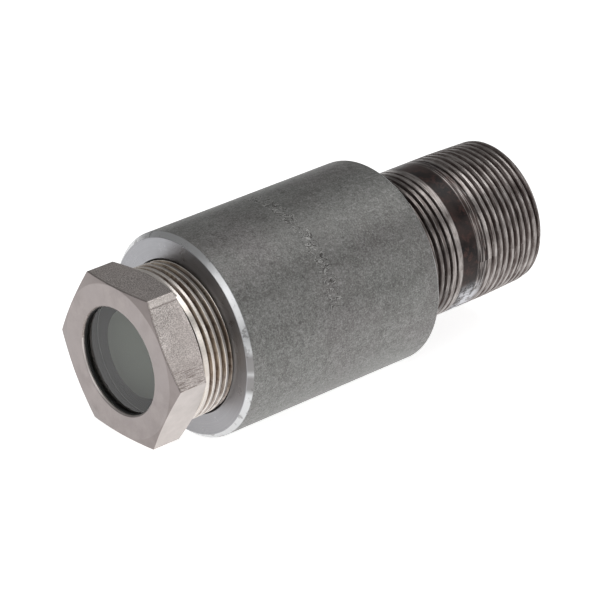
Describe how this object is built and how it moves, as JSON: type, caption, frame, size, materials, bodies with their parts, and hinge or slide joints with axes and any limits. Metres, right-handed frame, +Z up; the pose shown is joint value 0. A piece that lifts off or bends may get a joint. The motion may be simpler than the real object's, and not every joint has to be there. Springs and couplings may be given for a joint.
{
  "type": "sight glass",
  "caption": "Hexagon-headed round window plug screwed into a thick-walled pipe coupling, on a short nipple threaded at its free end.",
  "frame": {"origin": "centre of the nipple's open end face", "axes": "+X along the common axis, out of the nipple's open end, so the window faces -X; +Z up as pictured; +Y completes a right-handed frame"},
  "size_m": [0.1337, 0.0572, 0.0572],
  "materials": {
    "plated_steel": "satin",
    "gasket_rubber": "matte",
    "window_glass": "polished",
    "forged_steel": "matte, oiled",
    "black_steel": "satin, oiled"
  },
  "bodies": {
    "fitting": {"coupling": "forged_steel", "nipple": "black_steel"},
    "glass_pack": {"front_gasket": "gasket_rubber", "glass_lens": "window_glass", "rear_gasket": "gasket_rubber", "slip_washer": "plated_steel"},
    "sight_plug": {"sight_plug_body": "plated_steel", "retaining_ring": "plated_steel"}
  },
  "joints": [
    {"name": "plug_advance", "type": "slide", "parent": "fitting", "child": "glass_pack", "axis": [-1, 0, 0], "range_m": [0, 0.01327]},
    {"name": "plug_turn", "type": "hinge", "parent": "glass_pack", "child": "sight_plug", "pos_m": [-0.13373, 0, 0], "axis": [-1, 0, 0], "range_deg": [0, 2160]}
  ],
  "couplings": [
    {"joint": "plug_advance", "follows": "plug_turn", "m_per_rad": 0.00035152}
  ]
}
